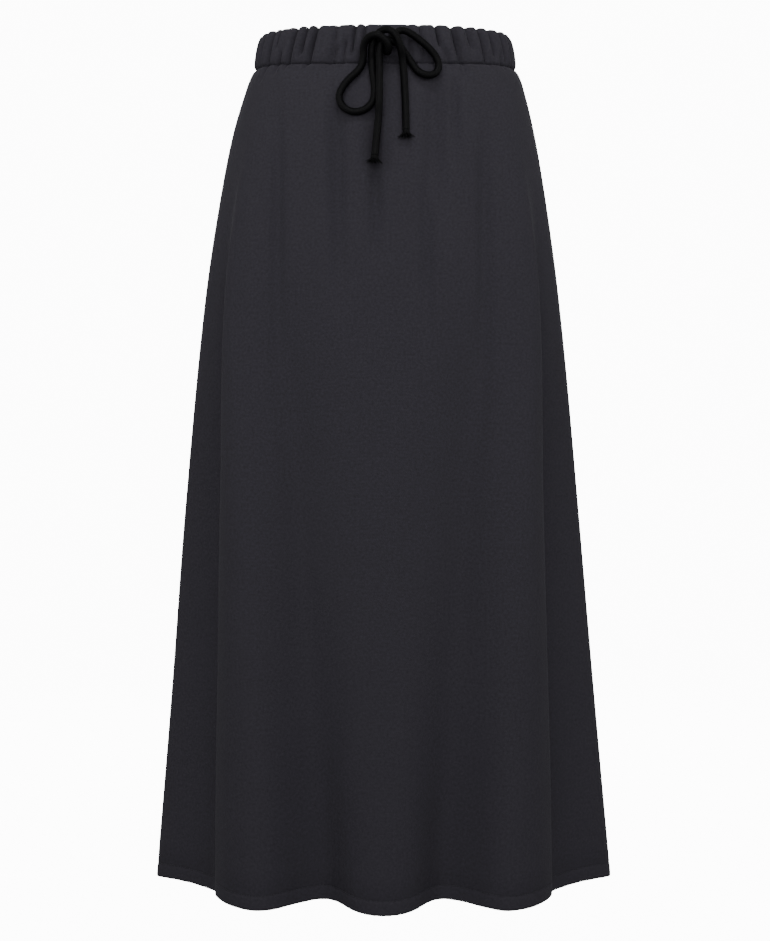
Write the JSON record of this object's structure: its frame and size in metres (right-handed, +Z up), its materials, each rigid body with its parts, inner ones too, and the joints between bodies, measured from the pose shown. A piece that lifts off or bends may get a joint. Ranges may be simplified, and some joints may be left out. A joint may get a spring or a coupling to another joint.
{
  "type": "maxi skirt",
  "caption": "Long A-line pull-on skirt in knit cloth, filled out as if worn, with a gathered waistband casing, a round drawstring tied in a bow at centre front and soft folds down to the hem.",
  "frame": {"origin": "middle of the waist opening, half-way up the casing at centre front", "axes": "+Z up the wearer towards the head, -Y is the centre front with the bow, +X is the wearer's left side"},
  "size_m": [0.5062, 0.3771, 0.9358],
  "materials": {
    "charcoal_knit": "smooth matt knit, charcoal",
    "black_cord": "round braided cotton cord, black, ends frayed"
  },
  "bodies": {
    "root": {"front_panel": "charcoal_knit", "back_panel": "charcoal_knit", "waistband_casing": "charcoal_knit", "cord_right_loop": "black_cord", "cord_left_loop": "black_cord", "cord_tip_long": "black_cord", "cord_tip_short": "black_cord"}
  },
  "joints": []
}
